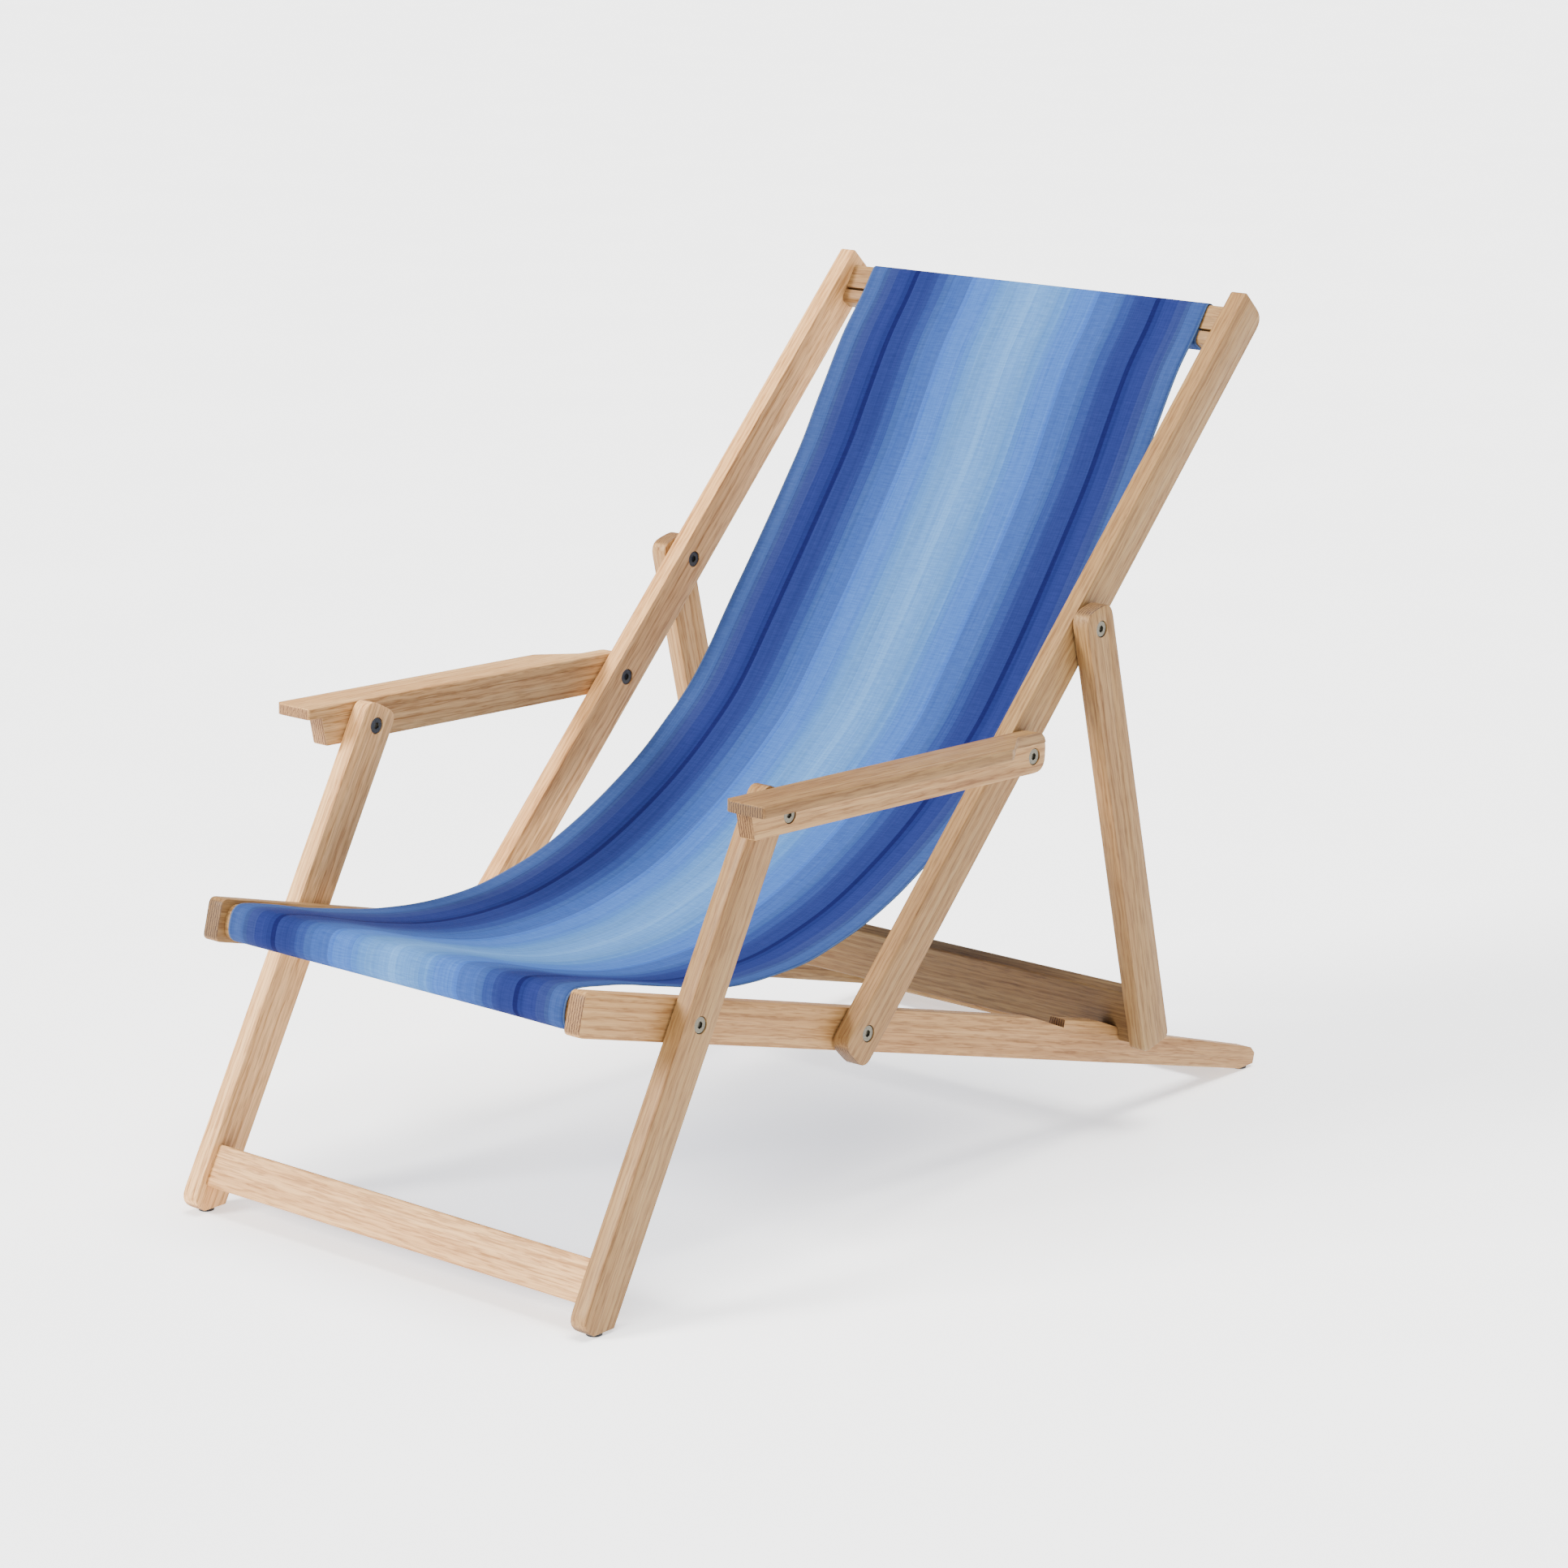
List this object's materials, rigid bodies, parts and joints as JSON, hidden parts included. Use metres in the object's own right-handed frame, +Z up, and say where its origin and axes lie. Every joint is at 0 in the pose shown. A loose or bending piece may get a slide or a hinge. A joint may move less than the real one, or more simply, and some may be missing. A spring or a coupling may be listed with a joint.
{
  "type": "folding wooden deck chair",
  "caption": "Folding wooden deck chair with armrests; a striped cloth sling hangs between a front bar and a top bar, and a prop frame holds the back.",
  "frame": {"origin": "on the floor, in the middle of the chair's overall box", "axes": "+X to the sitter's left, +Y from the front of the chair to its back, +Z up"},
  "size_m": [0.668, 1.1164, 0.8789],
  "materials": {
    "ash": "satin",
    "sling_canvas": "woven",
    "steel": "brushed",
    "washer_nylon": "matte",
    "rod_plastic": "matte",
    "glide_nylon": "matte"
  },
  "bodies": {
    "seat_frame": {"seat_rail_left": "ash", "seat_rail_right": "ash", "seat_glide_left": "glide_nylon", "seat_glide_right": "glide_nylon", "rear_slat": "ash", "leg_pivot_bolt_left": "steel", "leg_pivot_bolt_right": "steel", "leg_pivot_nut_left": "steel", "leg_pivot_nut_right": "steel", "leg_pivot_washer_left": "washer_nylon", "leg_pivot_washer_right": "washer_nylon", "back_pivot_bolt_left": "steel", "back_pivot_bolt_right": "steel", "back_pivot_nut_left": "steel", "back_pivot_nut_right": "steel", "back_pivot_washer_left": "washer_nylon", "back_pivot_washer_right": "washer_nylon", "front_bar": "ash", "hem_rod_front": "rod_plastic", "sling_seat": "sling_canvas"},
    "back_frame": {"back_rail_left": "ash", "back_rail_right": "ash", "arm_rear_bolt_left": "steel", "arm_rear_bolt_right": "steel", "arm_rear_nut_left": "steel", "arm_rear_nut_right": "steel", "arm_rear_washer_left": "washer_nylon", "arm_rear_washer_right": "washer_nylon", "prop_pivot_bolt_left": "steel", "prop_pivot_bolt_right": "steel", "prop_pivot_nut_left": "steel", "prop_pivot_nut_right": "steel", "prop_pivot_washer_left": "washer_nylon", "prop_pivot_washer_right": "washer_nylon", "top_bar": "ash", "hem_rod_top": "rod_plastic", "sling_back": "sling_canvas"},
    "front_legs": {"front_leg_left": "ash", "front_leg_right": "ash", "leg_glide_left": "glide_nylon", "leg_glide_right": "glide_nylon", "front_stretcher": "ash", "arm_front_nut_left": "steel", "arm_front_nut_right": "steel", "arm_front_washer_left": "washer_nylon", "arm_front_washer_right": "washer_nylon"},
    "armrest_left": {"armrest_rail_left": "ash", "armrest_board_left": "ash", "arm_front_bolt_left": "steel"},
    "armrest_right": {"armrest_rail_right": "ash", "armrest_board_right": "ash", "arm_front_bolt_right": "steel"},
    "prop_frame": {"prop_left": "ash", "prop_right": "ash", "prop_board": "ash"}
  },
  "joints": [
    {"name": "back_fold", "type": "hinge", "parent": "seat_frame", "child": "back_frame", "pos_m": [0, -0.14551, 0.20652], "axis": [1, 0, 0], "range_deg": [-53, 0]},
    {"name": "leg_fold", "type": "hinge", "parent": "seat_frame", "child": "front_legs", "pos_m": [0, -0.39472, 0.2733], "axis": [1, 0, 0], "range_deg": [-66.5, 0]},
    {"name": "armrest_left_fold", "type": "hinge", "parent": "back_frame", "child": "armrest_left", "pos_m": [0, 0.08929, 0.44966], "axis": [1, 0, 0], "range_deg": [0, 41.5]},
    {"name": "armrest_right_fold", "type": "hinge", "parent": "back_frame", "child": "armrest_right", "pos_m": [0, 0.08929, 0.44966], "axis": [1, 0, 0], "range_deg": [0, 41.5]},
    {"name": "prop_fold", "type": "hinge", "parent": "back_frame", "child": "prop_frame", "pos_m": [0, 0.19974, 0.56404], "axis": [1, 0, 0], "range_deg": [0, 122.5]}
  ],
  "couplings": [
    {"joint": "leg_fold", "follows": "back_fold", "ratio": 1.245},
    {"joint": "armrest_left_fold", "follows": "back_fold", "ratio": -0.77},
    {"joint": "armrest_right_fold", "follows": "back_fold", "ratio": -0.77},
    {"joint": "prop_fold", "follows": "back_fold", "ratio": -2.3}
  ]
}
